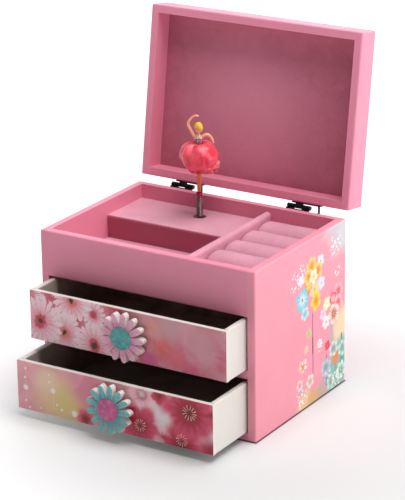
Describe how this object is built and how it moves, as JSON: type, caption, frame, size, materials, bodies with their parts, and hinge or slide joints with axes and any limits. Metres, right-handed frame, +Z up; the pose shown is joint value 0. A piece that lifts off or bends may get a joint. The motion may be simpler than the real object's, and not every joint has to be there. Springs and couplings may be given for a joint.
{
  "type": "ballerina jewellery box",
  "caption": "Wooden jewellery box with a hinged lid, velvet ring tray, drawers with flower knobs, and a dancer turned by a wind-up movement.",
  "frame": {"origin": "on the floor under the middle of the case, at its felt underside", "axes": "+Z up, +X to the right seen from the front, +Y to the back; the drawers pull out along -Y"},
  "size_m": [0.19, 0.2391, 0.2761],
  "materials": {
    "pink_paint": "satin paint on fibreboard",
    "white_paint": "satin paint on fibreboard",
    "velvet": "short-pile velvet",
    "lid_velvet": "short-pile velvet",
    "black_felt": "flocked felt",
    "black_metal": "black lacquer",
    "steel": "plain",
    "brass": "plain",
    "upper_print": "printed paper on fibreboard, satin",
    "lower_print": "printed paper on fibreboard, satin",
    "upper_petals": "printed face, white painted edges",
    "lower_petals": "printed face, white painted edges",
    "upper_centre": "printed face",
    "lower_centre": "printed face",
    "slipper_paint": "glossy paint",
    "doll_plastic": "moulded, satin",
    "bodice_glitter": "glitter paint",
    "tulle": "gathered net"
  },
  "bodies": {
    "case": {"left_side": "pink_paint", "right_side": "pink_paint", "back_panel": "pink_paint", "front_rail": "pink_paint", "base_panel": "pink_paint", "drawer_shelf": "pink_paint", "tray_floor": "pink_paint", "base_felt": "black_felt", "tray_lining": "velvet", "platform_top": "velvet", "platform_front_board": "velvet", "divider": "velvet", "ring_rolls": "velvet", "hinge_case_leaves": "black_metal", "hinge_pins": "black_metal", "hinge_case_screws": "steel", "movement_plate": "steel", "spring_drum": "brass", "mainspring": "steel", "comb": "steel", "movement_brackets": "brass", "movement_screws": "steel"},
    "lid": {"lid_front": "pink_paint", "lid_back": "pink_paint", "lid_left": "pink_paint", "lid_right": "pink_paint", "lid_top": "pink_paint", "lid_lining": "lid_velvet", "hinge_lid_leaves": "black_metal", "hinge_lid_screws": "steel"},
    "upper_drawer": {"upper_front": "upper_print", "upper_left": "white_paint", "upper_right": "white_paint", "upper_back": "white_paint", "upper_bottom": "white_paint", "upper_lining": "black_felt", "upper_flower": "upper_petals", "upper_flower_centre": "upper_centre", "upper_knob_screw": "steel"},
    "lower_drawer": {"lower_front": "lower_print", "lower_left": "white_paint", "lower_right": "white_paint", "lower_back": "white_paint", "lower_bottom": "white_paint", "lower_lining": "black_felt", "lower_flower": "lower_petals", "lower_flower_centre": "lower_centre", "lower_knob_screw": "steel"},
    "drive": {"crown_wheel": "brass", "winding_arbor": "steel", "winding_key": "brass"},
    "shaft": {"dancer_shaft": "steel"},
    "spring": {"dancer_spring": "steel"},
    "dancer": {"slipper": "slipper_paint", "dancer": "doll_plastic", "bodice": "bodice_glitter", "skirt": "tulle"},
    "cylinder": {"note_cylinder": "brass"},
    "governor": {"governor_wheel": "steel"},
    "fan": {"governor_fan": "steel"}
  },
  "joints": [
    {"name": "lid_hinge", "type": "hinge", "parent": "case", "child": "lid", "pos_m": [0, 0.0725, 0.13628], "axis": [1, 0, 0], "range_deg": [0, 98.7]},
    {"name": "upper_drawer_slide", "type": "slide", "parent": "case", "child": "upper_drawer", "axis": [0, -1, 0], "range_m": [-0.0272, 0.0528]},
    {"name": "lower_drawer_slide", "type": "slide", "parent": "case", "child": "lower_drawer", "axis": [0, -1, 0], "range_m": [-0.0468, 0.0552]},
    {"name": "drive_spin", "type": "hinge", "parent": "case", "child": "drive", "pos_m": [-0.0233, 0.07, 0.104], "axis": [0, 1, 0], "continuous": true},
    {"name": "shaft_spin", "type": "hinge", "parent": "case", "child": "shaft", "pos_m": [-0.0233, 0.0458, 0.115], "axis": [0, 0, 1], "continuous": true},
    {"name": "dancer_fold", "type": "hinge", "parent": "case", "child": "spring", "pos_m": [-0.0233, 0.0458, 0.1325], "axis": [1, 0, 0], "range_deg": [0, 84.5], "deforming": ["dancer_spring"]},
    {"name": "dancer_spin", "type": "hinge", "parent": "spring", "child": "dancer", "pos_m": [-0.0233, 0.0458, 0.16], "axis": [0, 0, 1], "continuous": true},
    {"name": "cylinder_spin", "type": "hinge", "parent": "case", "child": "cylinder", "pos_m": [-0.048, 0.0458, 0.104], "axis": [1, 0, 0], "continuous": true},
    {"name": "governor_spin", "type": "hinge", "parent": "case", "child": "governor", "pos_m": [-0.062, 0.0458, 0.113], "axis": [1, 0, 0], "continuous": true},
    {"name": "fan_spin", "type": "hinge", "parent": "case", "child": "fan", "pos_m": [-0.0638, 0.0395, 0.11], "axis": [0, 0, 1], "continuous": true}
  ],
  "couplings": [
    {"joint": "dancer_fold", "follows": "lid_hinge", "ratio": 0.856},
    {"joint": "shaft_spin", "follows": "drive_spin", "ratio": -3},
    {"joint": "dancer_spin", "follows": "drive_spin", "ratio": -3},
    {"joint": "cylinder_spin", "follows": "drive_spin", "ratio": 3},
    {"joint": "governor_spin", "follows": "drive_spin", "ratio": -12},
    {"joint": "fan_spin", "follows": "drive_spin", "ratio": 288}
  ]
}
